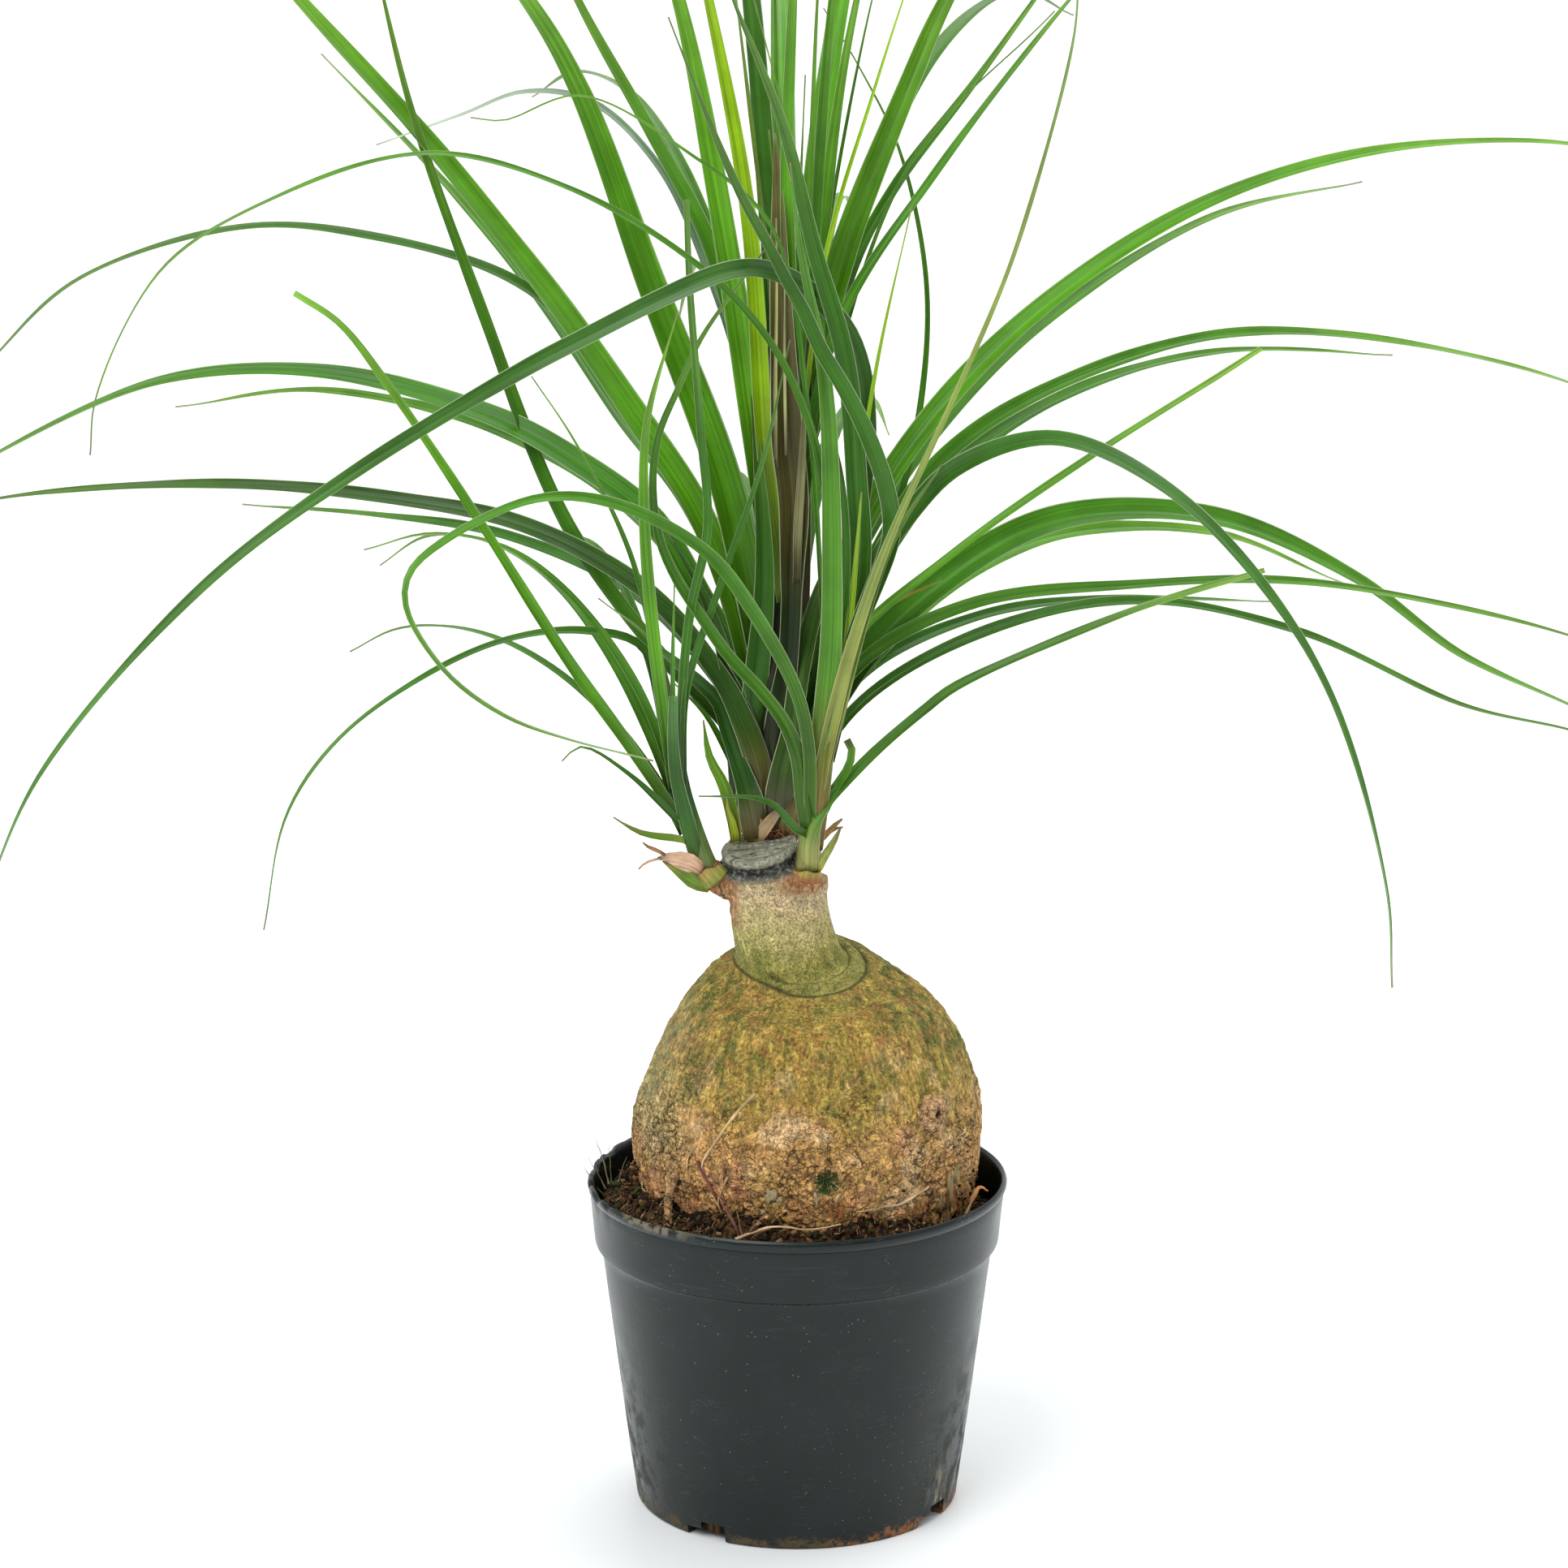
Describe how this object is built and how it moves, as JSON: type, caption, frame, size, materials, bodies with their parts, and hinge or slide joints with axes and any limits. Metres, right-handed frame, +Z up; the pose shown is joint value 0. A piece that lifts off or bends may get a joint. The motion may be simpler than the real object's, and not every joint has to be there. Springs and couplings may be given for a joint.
{
  "type": "potted ponytail palm",
  "caption": "Potted ponytail palm: a swollen corky bulb with a sawn-off trunk, sprouting three shoots of long arching strap leaves, in a dark plastic nursery pot.",
  "frame": {"origin": "middle of the flat underside of the pot, on the ground", "axes": "+Z up along the pot's axis; the plant's front, with the sawn face and the two small shoots, faces -Y; +X is to the right as seen from the front"},
  "size_m": [0.5788, 0.4349, 0.6403],
  "materials": {
    "pot_plastic": "dark blue-grey semi-gloss plastic, scratched and dusty",
    "soil": "dry red-brown crumbs of bark and peat",
    "cork_bark": "matte ochre cork with fine dark cracks and olive moss",
    "leaf_dark": "satin leaf with fine lengthwise veins",
    "leaf_mid": "satin leaf with fine lengthwise veins",
    "leaf_light": "satin leaf with fine lengthwise veins",
    "leaf_yellow": "dying leaf, yellow and matte",
    "papery_sheath": "dry papery leaf foot",
    "straw": "dry and fibrous",
    "bark": "pale weathered bark",
    "moss": "soft moss"
  },
  "bodies": {
    "root": {"pot": "pot_plastic", "soil": "soil", "caudex": "cork_bark", "main_crown": "leaf_dark", "right_shoot": "leaf_mid", "left_shoot": "leaf_light", "main_scale": "papery_sheath", "right_scale": "papery_sheath", "left_scale": "papery_sheath", "yellow_leaf": "leaf_yellow", "dry_straws": "straw", "grass_tuft": "straw", "bark_flake": "bark", "moss_sprig": "moss"}
  },
  "joints": []
}
